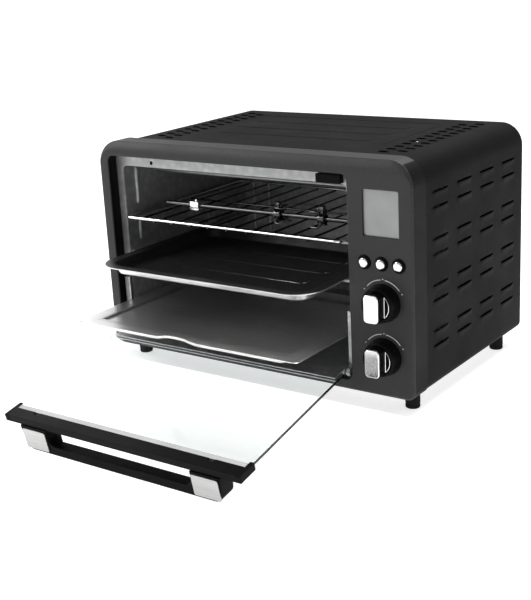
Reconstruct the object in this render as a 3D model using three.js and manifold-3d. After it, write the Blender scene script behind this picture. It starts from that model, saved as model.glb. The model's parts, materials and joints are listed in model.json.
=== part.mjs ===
// Countertop toaster oven: sheet-metal body, glass drop door, wire rack, two trays and a rotisserie spit.
// Millimetres, +Z up, +X to the right of someone facing the oven, -Y towards that person.
// Origin: centre of the raised pad in the base pan's underside, midway between the four feet.
import * as THREE from 'three';
import { mergeVertices } from 'three/addons/utils/BufferGeometryUtils.js';
import Module from 'manifold-3d';

const wasm = await Module();
wasm.setup();

// ---------- driving dimensions ----------
const BODY_WIDTH = 480;
const BODY_TOP = 291.7;
const FRONT_Y = -160;
const BACK_Y = 158.5;
const SHEET = 1.2;
const GAP = 0.3;

const BEZEL_WIDTH = 488;
const BEZEL_TOP = 295;
const BEZEL_BOTTOM = 1;
const BEZEL_DEPTH = 33.4;
const BEZEL_FACE = 2.4;
const BEZEL_WALL = 3;
const TOP_RADIUS = 30;
const BOTTOM_RADIUS = 10;

const OPENING = { left: -228, right: 155, bottom: 14, top: 274.6, radius: 9 };
const CAVITY = { left: -217.5, right: 144.5, bottom: 26, top: 258.6, front: -141, back: 136 };
const CAVITY_MID = (CAVITY.left + CAVITY.right) / 2;

const HINGE_Y = -157;
const HINGE_Z = 24;
const PIN_RADIUS = 2.5;
const DOOR_DROP_DEG = 11.8;
const DOOR_LENGTH = 243;
const HANDLE = {
  left: -198, right: 124, top: -3.9, bottom: -38.5, roof: -26, start: 222, barStart: 230, end: 244.5, leg: 45,
};
const GLASS = { left: -222.5, right: 150.5, start: 12, end: 238, low: 0.7, high: 4.7 };

const RACK_Z = 187.6;
const RACK_FRONT = -151.5;
const RACK_DEPTH = 270;
const RACK_WIDTH = 352;
const RACK_WIRE = 2;
const RACK_INNER_WIRE = 1.25;
const RACK_WIRE_COUNT = 11;
const RACK_WIRE_PITCH = 31.3;
const RACK_WIRE_DROP = 0.4;
const RACK_CROSS_DROP = 3.8;
const RACK_CROSS_REACH = 165;

const BAKE_TRAY = { rim: 137.6, front: -226, depth: 255, width: 346, drop: 14, inset: 14, radius: 38 };
const CRUMB_TRAY = { rim: 67.6, front: -262, depth: 260, width: 358, drop: 4, inset: 26, radius: 6 };
const TRAY_SHEET = 0.9;
const RAIL_WIDTH = 13;
const RAIL_HEIGHT = 3;

const LOUVRE = {
  columns: 4, pairs: 4, length: 39.2, width: 2.4, first: 57.2, pitch: 65.06, top: 248.6, step: 58.29, twin: 19.31,
};
const VENT = { rows: 12, first: -96, pitch: 19.5, x: 170, shift: 21, length: 15, width: 2.4 };
const REAR_VENT = { rows: 7, columns: 3, x: 88, xPitch: 24, z: 205, zPitch: 9, length: 18, width: 3.4 };
const PUNCH = 3;

const FOOT_RADIUS = 9.5;
const FOOT_HEIGHT = 22.4;
const FOOT_X = 220;
const FOOT_Y = 122.5;

const KNOB_X = 202.3;
const KNOB_HEIGHTS = { knob_upper: 121.7, knob_lower: 53.2 };
const KNOB_RADIUS = 24;
const KNOB = {
  skirt: 16, frontRadius: 20.4, shoulderRadius: 22.4, halfWidth: 9.8, halfHeight: 17.4, corner: 5,
  reach: 30.4, capDepth: 2.4,
};
const BUTTON_Z = 169.9;
const BUTTON_XS = [177.6, 201.1, 224.6];
const BUTTON_RADIUS = 6.1;
const COLLAR_RADIUS = 8.7;
const DISPLAY = { left: 176.5, right: 225.2, bottom: 202.4, top: 259.2 };

const PROBE = { y: 100, z: 228, radius: 2.4, inside: 92 };
const BOARD = { front: -146, back: -144.4, left: 166, right: 234, bottom: 24, top: 268 };

const SPIT_RADIUS = 3;
const SPIT_Y = -101.5;
const SPIT_Z = 201.5;
const SPIT_LEFT = -181;
const SPIT_RIGHT = 137;
const FORK_XS = [14, 82];
const PRONG_RING = 14.5;
const PRONG_LENGTH = 15;
const DRIVE = { y: 0, z: 163, radius: 8 };

const CORD_HOLE = { x: 190, z: 40 };

// ---------- materials ----------
function paint(color, roughness, metalness) {
  return new THREE.MeshStandardMaterial({ color, roughness, metalness });
}
const MATERIALS = {
  coat: () => paint(0x2b2b2c, 0.6, 0.2),
  bezel: () => paint(0x323233, 0.55, 0.2),
  enamel: () => paint(0x3a3a3b, 0.4, 0.4),
  zinc: () => paint(0x9a9b9c, 0.45, 0.8),
  plastic: () => paint(0x151515, 0.45, 0),
  chrome: () => paint(0xdedfe0, 0.12, 1),
  steel: () => paint(0xb9babb, 0.3, 0.9),
  nonstick: () => paint(0x3c3c3d, 0.45, 0.3),
  glass: () => Object.assign(paint(0xe8f0f0, 0.05, 0), { transparent: true, opacity: 0.4 }),
  lens: () => paint(0x9da0a0, 0.2, 0),
  board: () => paint(0x2d5b3c, 0.6, 0),
  rubber: () => paint(0x101010, 0.8, 0),
};

// ---------- small geometry tools ----------
function toSolid(geometry) {
  const bare = geometry.clone();
  for (const name of Object.keys(bare.attributes)) {
    if (name !== 'position') bare.deleteAttribute(name);
  }
  const merged = mergeVertices(bare, 1e-4);
  const vertProperties = new Float32Array(merged.attributes.position.array);
  const triVerts = new Uint32Array(merged.index.array);
  return new wasm.Manifold(new wasm.Mesh({ numProp: 3, vertProperties, triVerts }));
}

function toGeometry(solid) {
  const mesh = solid.getMesh();
  const geometry = new THREE.BufferGeometry();
  geometry.setAttribute('position', new THREE.BufferAttribute(new Float32Array(mesh.vertProperties), 3));
  geometry.setIndex(new THREE.BufferAttribute(new Uint32Array(mesh.triVerts), 1));
  geometry.computeVertexNormals();
  return geometry;
}

function block(x0, x1, y0, y1, z0, z1) {
  const geometry = new THREE.BoxGeometry(x1 - x0, y1 - y0, z1 - z0);
  geometry.translate((x0 + x1) / 2, (y0 + y1) / 2, (z0 + z1) / 2);
  return toSolid(geometry);
}

// A round bar between two points.
function rod(from, to, radius, sides = 12) {
  const start = new THREE.Vector3(...from);
  const end = new THREE.Vector3(...to);
  const along = end.clone().sub(start);
  const geometry = new THREE.CylinderGeometry(radius, radius, along.length(), sides);
  const upright = new THREE.Vector3(0, 1, 0);
  const turn = new THREE.Quaternion().setFromUnitVectors(upright, along.clone().normalize());
  geometry.applyQuaternion(turn);
  geometry.translate(...start.add(end).multiplyScalar(0.5).toArray());
  return toSolid(geometry);
}

// A rounded rectangle with one radius for the two lower corners and one for the two upper ones.
function roundedShape(x0, z0, x1, z1, low, high = low) {
  const shape = new THREE.Shape();
  shape.moveTo(x0 + low, z0);
  shape.lineTo(x1 - low, z0);
  shape.absarc(x1 - low, z0 + low, low, -Math.PI / 2, 0, false);
  shape.lineTo(x1, z1 - high);
  shape.absarc(x1 - high, z1 - high, high, 0, Math.PI / 2, false);
  shape.lineTo(x0 + high, z1);
  shape.absarc(x0 + high, z1 - high, high, Math.PI / 2, Math.PI, false);
  shape.lineTo(x0, z0 + low);
  shape.absarc(x0 + low, z0 + low, low, Math.PI, 1.5 * Math.PI, false);
  return shape;
}

// An outline drawn in X and Z, pushed from y0 back to y1.
function pushBack(shape, y0, y1, curveSegments = 6) {
  const geometry = new THREE.ExtrudeGeometry(shape, { depth: y1 - y0, bevelEnabled: false, curveSegments });
  geometry.rotateX(Math.PI / 2);
  geometry.translate(0, y1, 0);
  return toSolid(geometry);
}

// A closed skin through a stack of rings with the same number of points, capped flat at both ends.
function ringStack(rings) {
  const count = rings[0].length;
  const positions = rings.flat().flatMap((p) => [p.x, p.y, p.z]);
  const index = [];
  for (let r = 0; r < rings.length - 1; r += 1) {
    for (let i = 0; i < count; i += 1) {
      const a = r * count + i;
      const b = r * count + ((i + 1) % count);
      index.push(a, b, b + count, a, b + count, a + count);
    }
  }
  const last = (rings.length - 1) * count;
  for (let i = 1; i < count - 1; i += 1) {
    index.push(0, i + 1, i);
    index.push(last, last + i, last + i + 1);
  }
  const geometry = new THREE.BufferGeometry();
  geometry.setAttribute('position', new THREE.Float32BufferAttribute(positions, 3));
  geometry.setIndex(index);
  return toSolid(geometry);
}

function ringAt(x0, y0, x1, y1, radius, z) {
  const outline = roundedShape(x0, y0, x1, y1, radius).getPoints(5);
  const points = outline.slice(0, -1);
  return points.map((p) => new THREE.Vector3(p.x, p.y, z));
}

// ---------- assembly ----------
const oven = new THREE.Group();
const doorGroup = new THREE.Group();
doorGroup.position.set(0, HINGE_Y, HINGE_Z);
doorGroup.rotation.x = THREE.MathUtils.degToRad(DOOR_DROP_DEG);
oven.add(doorGroup);

function place(name, solid, material, group = oven) {
  const mesh = new THREE.Mesh(toGeometry(solid), MATERIALS[material]());
  mesh.name = name;
  group.add(mesh);
}

// ---------- outer wrap ----------
function wrapOutline() {
  const half = BODY_WIDTH / 2;
  const flange = 14;
  const shape = new THREE.Shape();
  const foot = half - BOTTOM_RADIUS - flange;
  shape.moveTo(-foot, 0);
  shape.lineTo(-half + BOTTOM_RADIUS, 0);
  shape.absarc(-half + BOTTOM_RADIUS, BOTTOM_RADIUS, BOTTOM_RADIUS, 1.5 * Math.PI, Math.PI, true);
  shape.lineTo(-half, BODY_TOP - TOP_RADIUS);
  shape.absarc(-half + TOP_RADIUS, BODY_TOP - TOP_RADIUS, TOP_RADIUS, Math.PI, Math.PI / 2, true);
  shape.lineTo(half - TOP_RADIUS, BODY_TOP);
  shape.absarc(half - TOP_RADIUS, BODY_TOP - TOP_RADIUS, TOP_RADIUS, Math.PI / 2, 0, true);
  shape.lineTo(half, BOTTOM_RADIUS);
  shape.absarc(half - BOTTOM_RADIUS, BOTTOM_RADIUS, BOTTOM_RADIUS, 0, -Math.PI / 2, true);
  shape.lineTo(foot, 0);
  shape.lineTo(foot, SHEET);
  shape.lineTo(half - BOTTOM_RADIUS, SHEET);
  const lowInner = BOTTOM_RADIUS - SHEET;
  const highInner = TOP_RADIUS - SHEET;
  shape.absarc(half - BOTTOM_RADIUS, BOTTOM_RADIUS, lowInner, -Math.PI / 2, 0, false);
  shape.lineTo(half - SHEET, BODY_TOP - TOP_RADIUS);
  shape.absarc(half - TOP_RADIUS, BODY_TOP - TOP_RADIUS, highInner, 0, Math.PI / 2, false);
  shape.lineTo(-half + TOP_RADIUS, BODY_TOP - SHEET);
  shape.absarc(-half + TOP_RADIUS, BODY_TOP - TOP_RADIUS, highInner, Math.PI / 2, Math.PI, false);
  shape.lineTo(-half + SHEET, BOTTOM_RADIUS);
  shape.absarc(-half + BOTTOM_RADIUS, BOTTOM_RADIUS, lowInner, Math.PI, 1.5 * Math.PI, false);
  shape.lineTo(-foot, SHEET);
  return shape;
}

function sideLouvres(side) {
  const l = LOUVRE;
  const x = (side * BODY_WIDTH) / 2;
  const slots = [];
  for (let c = 0; c < l.columns; c += 1) {
    for (let r = 0; r < l.pairs * 2; r += 1) {
      const y = FRONT_Y + l.first + l.pitch * c;
      const z = l.top - l.step * Math.floor(r / 2) - l.twin * (r % 2);
      slots.push(block(x - PUNCH, x + PUNCH, y, y + l.length, z - l.width / 2, z + l.width / 2));
    }
  }
  return slots;
}

function topVents(side) {
  const v = VENT;
  const slots = [];
  for (let r = 0; r < v.rows; r += 1) {
    for (let c = 0; c < 2; c += 1) {
      const x = side * (v.x + v.shift * c);
      const y = v.first + v.pitch * (r + c / 2);
      slots.push(block(x - v.length / 2, x + v.length / 2, y - v.width / 2, y + v.width / 2,
        BODY_TOP - PUNCH, BODY_TOP + PUNCH));
    }
  }
  return slots;
}

function cutAll(solid, cutters) {
  return solid.subtract(wasm.Manifold.union(cutters));
}

function outerWrap() {
  const sheet = pushBack(wrapOutline(), FRONT_Y + BEZEL_DEPTH + GAP, BACK_Y, 6);
  return cutAll(sheet, [...sideLouvres(1), ...sideLouvres(-1), ...topVents(1), ...topVents(-1)]);
}

// ---------- front bezel ----------
function frontBezel() {
  const half = BEZEL_WIDTH / 2;
  const back = FRONT_Y + BEZEL_DEPTH;
  const outer = roundedShape(-half, BEZEL_BOTTOM, half, BEZEL_TOP, BOTTOM_RADIUS + 2, TOP_RADIUS + 2);
  const wall = BEZEL_WALL;
  const inner = roundedShape(
    -half + wall, BEZEL_BOTTOM + wall, half - wall, BEZEL_TOP - wall,
    BOTTOM_RADIUS + 2 - wall, TOP_RADIUS + 2 - wall,
  );
  const flange = 1.5;
  const o = OPENING;
  const ring = roundedShape(
    o.left - flange, o.bottom - flange, o.right + flange, o.top + flange, o.radius + flange,
  );
  const hole = roundedShape(o.left, o.bottom, o.right, o.top, o.radius);
  const shell = pushBack(outer, FRONT_Y, back).subtract(pushBack(inner, FRONT_Y + BEZEL_FACE, back + 1));
  const lined = shell.add(pushBack(ring, FRONT_Y + 1, CAVITY.front - 2, 4));
  const d = DISPLAY;
  const window = pushBack(roundedShape(d.left, d.bottom, d.right, d.top, 2), FRONT_Y - 1, FRONT_Y + 5, 2);
  const cutters = [pushBack(hole, FRONT_Y - 1, back, 4), window];
  for (const x of BUTTON_XS) {
    cutters.push(rod([x, FRONT_Y - 1, BUTTON_Z], [x, FRONT_Y + 5, BUTTON_Z], COLLAR_RADIUS + GAP, 20));
  }
  for (const z of Object.values(KNOB_HEIGHTS)) {
    cutters.push(rod([KNOB_X, FRONT_Y - 1, z], [KNOB_X, FRONT_Y + 5, z], 5, 16));
  }
  return cutAll(lined, cutters);
}

// ---------- base, back and feet ----------
function basePan() {
  const x = FOOT_X - 5.5;
  const sheet = block(-x, x, FRONT_Y + BEZEL_DEPTH + 1, BACK_Y - 4, 2, 2 + SHEET);
  const pad = block(-130, 130, -80, 80, 0, 2.6);
  const hollow = block(-130 + SHEET, 130 - SHEET, -80 + SHEET, 80 - SHEET, SHEET, 4);
  const cutters = [hollow];
  for (let i = 0; i < 9; i += 1) {
    const slot = -112 + 28 * i;
    cutters.push(block(slot - 9, slot + 9, 96, 100, 0, 5));
    cutters.push(block(slot - 9, slot + 9, -108, -104, 0, 5));
  }
  return cutAll(sheet.add(pad), cutters);
}

function foot(x, y) {
  const profile = [
    [0, -FOOT_HEIGHT], [8.4, -FOOT_HEIGHT], [FOOT_RADIUS, 1.6 - FOOT_HEIGHT],
    [FOOT_RADIUS, -GAP], [0, -GAP],
  ];
  const geometry = new THREE.LatheGeometry(profile.map(([r, z]) => new THREE.Vector2(r, z)), 16);
  geometry.rotateX(Math.PI / 2);
  geometry.translate(x, y, 0);
  return toSolid(geometry);
}

function rearPanel() {
  const half = BODY_WIDTH / 2 - SHEET - GAP;
  const low = SHEET + GAP;
  const plate = roundedShape(-half, low, half, BODY_TOP - SHEET - GAP, 8, TOP_RADIUS - SHEET - GAP);
  const v = REAR_VENT;
  const cutters = [];
  for (let r = 0; r < v.rows; r += 1) {
    for (let c = 0; c < v.columns; c += 1) {
      const x = v.x + v.xPitch * c;
      const z = v.z + v.zPitch * r;
      cutters.push(block(x - v.length / 2, x + v.length / 2, BACK_Y - 8, BACK_Y + PUNCH,
        z - v.width / 2, z + v.width / 2));
    }
  }
  cutters.push(rod([CORD_HOLE.x, 150, CORD_HOLE.z], [CORD_HOLE.x, 162, CORD_HOLE.z], 7.3, 16));
  return cutAll(pushBack(plate, BACK_Y - 2 - SHEET, BACK_Y - 2, 5), cutters);
}

function cordGland() {
  const { x, z } = CORD_HOLE;
  const profile = [
    [4, 148], [7, 148], [7, 156.8], [10.5, 156.8], [10.5, 159], [8, 161.5], [5.5, 163], [4, 163], [4, 148],
  ];
  const geometry = new THREE.LatheGeometry(profile.map(([r, y]) => new THREE.Vector2(r, y)), 16);
  geometry.translate(x, 0, z);
  return toSolid(geometry);
}

// ---------- oven cavity ----------
const RAIL_TOPS = [
  RACK_Z - RACK_WIRE - GAP,
  BAKE_TRAY.rim - TRAY_SHEET - GAP,
  CRUMB_TRAY.rim - TRAY_SHEET - GAP,
];
const HEATER_YS = { front: -70, rear: 60 };
const HEATER_ZS = { upper: 240, lower: 44 };
const HEATER_RADIUS = 3.5;

function heaterHoles(x) {
  const holes = [];
  for (const y of Object.values(HEATER_YS)) {
    for (const z of Object.values(HEATER_ZS)) {
      holes.push(rod([x - 6, y, z], [x + 6, y, z], HEATER_RADIUS + GAP, 12));
    }
  }
  return holes;
}

// A side wall, inner face at x; side is -1 on the left and 1 on the right.
function cavitySide(x, side) {
  const outside = x + side * SHEET;
  const c = CAVITY;
  const parts = [block(Math.min(x, outside), Math.max(x, outside), c.front + GAP, c.back, c.bottom, c.top)];
  for (const top of RAIL_TOPS) {
    const inner = x - side * RAIL_WIDTH;
    parts.push(block(Math.min(inner, outside), Math.max(inner, outside), c.front + 4, c.back - 4,
      top - RAIL_HEIGHT, top));
  }
  return wasm.Manifold.union(parts);
}

function cavityRightWall() {
  const x = CAVITY.right;
  const shaft = rod([x - 6, DRIVE.y, DRIVE.z], [x + 6, DRIVE.y, DRIVE.z], 4.3, 14);
  const probe = rod([x - 6, PROBE.y, PROBE.z], [x + 6, PROBE.y, PROBE.z], PROBE.radius + GAP + 0.1, 10);
  return cutAll(cavitySide(x, 1), [...heaterHoles(x), shaft, probe]);
}

function cavityFrontFrame() {
  const o = OPENING;
  const c = CAVITY;
  const outer = roundedShape(o.left - 4, o.bottom - 4, o.right + 4, o.top + 4, 10);
  const hole = roundedShape(c.left, c.bottom, c.right, c.top, 8);
  const plate = pushBack(outer, c.front - SHEET, c.front, 3);
  const dimple = rod([-165, c.front - 3, 264.8], [-165, c.front + 1, 264.8], 2.6, 12);
  return cutAll(plate, [pushBack(hole, c.front - 3, c.front + 1, 3), dimple]);
}

function cavitySheet(z0, z1) {
  const c = CAVITY;
  return block(c.left - SHEET, c.right + SHEET, c.front + GAP, c.back, z0, z1);
}

function cavityRearWall() {
  const c = CAVITY;
  const plate = block(c.left - SHEET, c.right + SHEET, c.back + GAP, c.back + GAP + SHEET,
    c.bottom - GAP - SHEET, c.top + GAP + SHEET);
  const panel = roundedShape(CAVITY_MID - 95, 95, CAVITY_MID + 95, 155, 12);
  return plate.add(pushBack(panel, c.back - 3.2, c.back + 1, 4));
}

function heater(y, z) {
  return rod([CAVITY.left - 1, y, z], [CAVITY.right + 9, y, z], HEATER_RADIUS, 12);
}

function spitSupport() {
  const x = CAVITY.left + GAP;
  const arm = 38;
  const plate = block(x, x + 1.5, DRIVE.y - 11, DRIVE.y + 11, DRIVE.z - 14, DRIVE.z + 8);
  const reach = block(x, x + arm, DRIVE.y - 9, DRIVE.y + 9, DRIVE.z - 14, DRIVE.z - 12.5);
  const stand = block(x + arm - 1.5, x + arm, DRIVE.y - 9, DRIVE.y + 9, DRIVE.z - 14, DRIVE.z + 8);
  const notch = block(x + arm - 3, x + arm + 2, DRIVE.y - 3, DRIVE.y + 3, DRIVE.z - 3, DRIVE.z + 10);
  return plate.add(reach).add(stand).subtract(notch);
}

function driveSocket() {
  const { y, z, radius } = DRIVE;
  const cup = rod([120, y, z], [CAVITY.right - GAP, y, z], radius, 18);
  const shaft = rod([CAVITY.right - 2, y, z], [CAVITY.right + 18, y, z], 4, 14);
  const square = block(118, 138, y - 4.4, y + 4.4, z - 4.4, z + 4.4);
  return cup.add(shaft).subtract(square);
}

// ---------- control bay ----------
function bayHeatShield() {
  const { y, z } = DRIVE;
  return block(155, 155.8, -120, 150, 8, 284).subtract(rod([150, y, z], [160, y, z], 6, 14));
}

function rotisserieMotor() {
  const { y, z } = DRIVE;
  const can = rod([168, y, z], [196, y, z], 24, 20);
  const gearbox = block(163, 169, y - 26, y + 26, z - 26, z + 26);
  return can.add(gearbox).subtract(rod([160, y, z], [167, y, z], 4.3, 14));
}

function powerBoard() {
  const board = block(170, 230, 40, 140, 12, 13.6);
  const relay = block(178, 196, 60, 78, 13, 28);
  const capacitor = rod([215, 70, 13], [215, 70, 38], 8, 12);
  return board.add(relay).add(capacitor);
}

function transformer() {
  const core = block(175, 225, -40, 5, 14, 48);
  const coil = block(183, 217, -47, 12, 20, 42);
  return core.add(coil);
}

function controlBoard() {
  const board = block(BOARD.left, BOARD.right, BOARD.front, BOARD.back, BOARD.bottom, BOARD.top);
  const holes = Object.values(KNOB_HEIGHTS).map((z) => rod([KNOB_X, -150, z], [KNOB_X, -140, z], 6.6, 16));
  return cutAll(board, holes);
}

function encoder(z) {
  const body = block(KNOB_X - 6, KNOB_X + 6, BOARD.back + 0.6, BOARD.back + 7.4, z - 6, z + 6);
  const bush = rod([KNOB_X, -151, z], [KNOB_X, -143, z], 5.5, 16);
  return body.add(bush).subtract(rod([KNOB_X, -153, z], [KNOB_X, -141, z], 3.3, 14));
}

function buttonCollar(x) {
  const profile = [
    [BUTTON_RADIUS + GAP, -162], [COLLAR_RADIUS - 0.6, -162], [COLLAR_RADIUS, -161.2],
    [COLLAR_RADIUS, -154], [BUTTON_RADIUS + GAP, -154], [BUTTON_RADIUS + GAP, -162],
  ];
  const geometry = new THREE.LatheGeometry(profile.map(([r, y]) => new THREE.Vector2(r, y)), 20);
  geometry.translate(x, 0, BUTTON_Z);
  return toSolid(geometry);
}

function button(x) {
  const cap = rod([x, -164.6, BUTTON_Z], [x, -153, BUTTON_Z], BUTTON_RADIUS, 20);
  const stem = rod([x, -154, BUTTON_Z], [x, -148, BUTTON_Z], 2.5, 10);
  return cap.add(stem);
}

function gripOutline(z) {
  const { halfWidth, halfHeight, corner } = KNOB;
  return roundedShape(KNOB_X - halfWidth, z - halfHeight, KNOB_X + halfWidth, z + halfHeight, corner);
}

// The turning part of a knob: skirt and the grip bar across it, standing GAP in front of the panel.
function knobBody(z) {
  const face = FRONT_Y - GAP;
  const k = KNOB;
  const profile = [
    [0, face - k.skirt], [k.frontRadius, face - k.skirt], [k.shoulderRadius, face - k.skirt + 2],
    [KNOB_RADIUS, face], [0, face],
  ];
  const geometry = new THREE.LatheGeometry(profile.map(([r, y]) => new THREE.Vector2(r, y)), 28);
  geometry.translate(KNOB_X, 0, z);
  const bar = pushBack(gripOutline(z), face - k.reach + k.capDepth + GAP, face - k.skirt + 1, 4);
  const shaft = rod([KNOB_X, face - 1, z], [KNOB_X, -142, z], 3, 14);
  return toSolid(geometry).add(bar).add(shaft);
}

// The bright cap on the front of the grip bar.
function knobCap(z) {
  const face = FRONT_Y - GAP;
  return pushBack(gripOutline(z), face - KNOB.reach, face - KNOB.reach + KNOB.capDepth, 4);
}

// ---------- door, drawn lying flat: X across, -Y outwards from the hinge, +Z its inner face ----------
function along(x0, x1, s0, s1, h0, h1) {
  return block(x0, x1, -s1, -s0, h0, h1);
}

function hingeRail() {
  const g = GLASS;
  const left = g.left + 3.5;
  const right = g.right - 3.5;
  const rail = along(left, right, -5, 29, -1.3, 6.7);
  const slot = along(left - 1, right + 1, g.start - GAP, 30, g.low - GAP, g.high + GAP);
  const pins = [
    rod([left - 5, 0, 0], [left + 2, 0, 0], PIN_RADIUS, 14),
    rod([right - 2, 0, 0], [right + 5, 0, 0], PIN_RADIUS, 14),
  ];
  return wasm.Manifold.union([rail.subtract(slot), ...pins]);
}

function doorTopTrim() {
  const g = GLASS;
  const left = g.left + 4;
  const right = g.right - 4;
  const inner = along(left, right, 225, DOOR_LENGTH, 0, 6.2);
  const outer = along(left, right, 217, DOOR_LENGTH, -3.6, 1);
  const slot = along(left - 1, right + 1, 210, g.end + GAP, g.low - GAP, g.high + GAP);
  const notches = [-180, 101].map((x) => along(x - 4.5, x + 4.5, 220, 230, g.high, 8));
  return cutAll(inner.add(outer), [slot, ...notches]);
}

function doorEndCap(side) {
  const g = GLASS;
  const edge = side < 0 ? g.left : g.right;
  const inside = edge - side * (4 - GAP);
  const outside = edge + side * 2.2;
  const x0 = Math.min(inside, outside);
  const x1 = Math.max(inside, outside);
  const body = along(x0, x1, 214, DOOR_LENGTH + 0.5, -3.6, 6.2);
  const reach = edge + side * GAP;
  const slot = along(Math.min(reach, inside - side), Math.max(reach, inside - side), 210, g.end + GAP,
    g.low - GAP, g.high + GAP);
  return body.subtract(slot);
}

function handleOutline() {
  const h = HANDLE;
  const inLeft = h.left + h.leg;
  const inRight = h.right - h.leg;
  const bend = 11;
  const roof = h.roof;
  const shape = new THREE.Shape();
  shape.moveTo(h.left, h.top);
  shape.lineTo(h.left + 3, h.bottom + 9);
  shape.quadraticCurveTo(h.left + 5, h.bottom, h.left + 16, h.bottom);
  shape.lineTo(h.right - 16, h.bottom);
  shape.quadraticCurveTo(h.right - 5, h.bottom, h.right - 3, h.bottom + 9);
  shape.lineTo(h.right, h.top);
  shape.lineTo(inRight, h.top);
  shape.lineTo(inRight, roof + bend);
  shape.absarc(inRight - bend, roof + bend, bend, 0, -Math.PI / 2, true);
  shape.lineTo(inLeft + bend, roof);
  shape.absarc(inLeft + bend, roof + bend, bend, -Math.PI / 2, -Math.PI, true);
  shape.lineTo(inLeft, h.top);
  return shape;
}

function handleBar() {
  const h = HANDLE;
  const behindBar = along(h.left + h.leg, h.right - h.leg, h.start - 1, h.barStart, h.bottom - 1, h.top + 1);
  return pushBack(handleOutline(), -h.end, -h.start, 5).subtract(behindBar);
}

function handleCap(side) {
  const h = HANDLE;
  const x0 = side < 0 ? h.left + 4 : h.right - h.leg + 2;
  const x1 = side < 0 ? h.left + h.leg - 2 : h.right - 4;
  const plate = roundedShape(x0, h.bottom + 3, x1, h.top - 3, 2);
  return pushBack(plate, -h.end - GAP - 1.4, -h.end - GAP, 2);
}

function hingeBracket(side) {
  const edge = side < 0 ? GLASS.left : GLASS.right;
  const inside = edge - side * 2.4;
  const outside = edge + side * 2.6;
  const x0 = Math.min(inside, outside);
  const x1 = Math.max(inside, outside);
  const ear = pinEar(x0, x1);
  const deep = edge - side * 6;
  const arm = block(Math.min(deep, outside), Math.max(deep, outside), -149, -146, HINGE_Z + 8, 100);
  const root = block(x0, x1, -150, -146, HINGE_Z - 6, 100);
  const bore = rod([x0 - 2, HINGE_Y, HINGE_Z], [x1 + 2, HINGE_Y, HINGE_Z], PIN_RADIUS + GAP, 14);
  return wasm.Manifold.union([ear, arm, root]).subtract(bore);
}

// The rounded ear around a hinge pin, between two X planes.
function pinEar(x0, x1) {
  const tip = rod([x0, HINGE_Y, HINGE_Z], [x1, HINGE_Y, HINGE_Z], 6, 16);
  return tip.add(block(x0, x1, HINGE_Y, -148, HINGE_Z - 6, HINGE_Z + 6));
}

// ---------- racks and trays ----------
const RACK_EDGES = {
  left: CAVITY_MID - RACK_WIDTH / 2 + RACK_WIRE,
  right: CAVITY_MID + RACK_WIDTH / 2 - RACK_WIRE,
  front: RACK_FRONT + RACK_WIRE,
  back: RACK_FRONT + RACK_DEPTH - RACK_WIRE,
};

// The thick wire round the rack, resting on the rails, and the thin wires across it from front to back.
function wireRack() {
  const { left, right, front, back } = RACK_EDGES;
  const corners = [[left, front], [right, front], [right, back], [left, back]].map(([x, y]) => [x, y, RACK_Z]);
  const wires = corners.map((from, i) => rod(from, corners[(i + 1) % 4], RACK_WIRE, 8));
  const z = RACK_Z - RACK_WIRE_DROP;
  for (let i = 0; i < RACK_WIRE_COUNT; i += 1) {
    const x = CAVITY_MID + RACK_WIRE_PITCH * (i - (RACK_WIRE_COUNT - 1) / 2);
    wires.push(rod([x, front, z], [x, back, z], RACK_INNER_WIRE, 6));
  }
  return wasm.Manifold.union(wires);
}

// The thin wire under the others, halfway back.
function rackCrossWire() {
  const y = (RACK_EDGES.front + RACK_EDGES.back) / 2;
  const z = RACK_Z - RACK_CROSS_DROP;
  const reach = RACK_CROSS_REACH;
  return rod([CAVITY_MID - reach, y, z], [CAVITY_MID + reach, y, z], RACK_INNER_WIRE, 6);
}

// A pressed tray: flat rim, sloping walls and a flat floor, all of one sheet.
function pressedTray({ rim, front, depth, width, drop, inset, radius }) {
  const x0 = CAVITY_MID - width / 2;
  const x1 = CAVITY_MID + width / 2;
  const y1 = front + depth;
  const lean = drop * 0.35;
  const ring = (d, z) => ringAt(x0 + d, front + d, x1 - d, y1 - d, Math.max(radius - d, 2), z);
  return ringStack([
    ring(inset + lean, rim - drop),
    ring(inset, rim - TRAY_SHEET - 1),
    ring(inset - 1, rim - TRAY_SHEET),
    ring(0, rim - TRAY_SHEET),
    ring(0, rim),
    ring(inset, rim),
    ring(inset + TRAY_SHEET, rim - 1),
    ring(inset + lean + TRAY_SHEET, rim - drop + TRAY_SHEET),
  ]);
}

// ---------- rotisserie ----------
function spitRod() {
  const start = [SPIT_LEFT, SPIT_Y, SPIT_Z];
  const end = [SPIT_RIGHT - 12, SPIT_Y, SPIT_Z];
  const shank = rod(start, end, SPIT_RADIUS, 12);
  const square = block(SPIT_RIGHT - 14, SPIT_RIGHT, SPIT_Y - 3.2, SPIT_Y + 3.2, SPIT_Z - 3.2, SPIT_Z + 3.2);
  const collar = block(-131, -117, SPIT_Y - 6, SPIT_Y + 6, SPIT_Z - 6, SPIT_Z + 6);
  return shank.add(square).add(collar);
}

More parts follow.
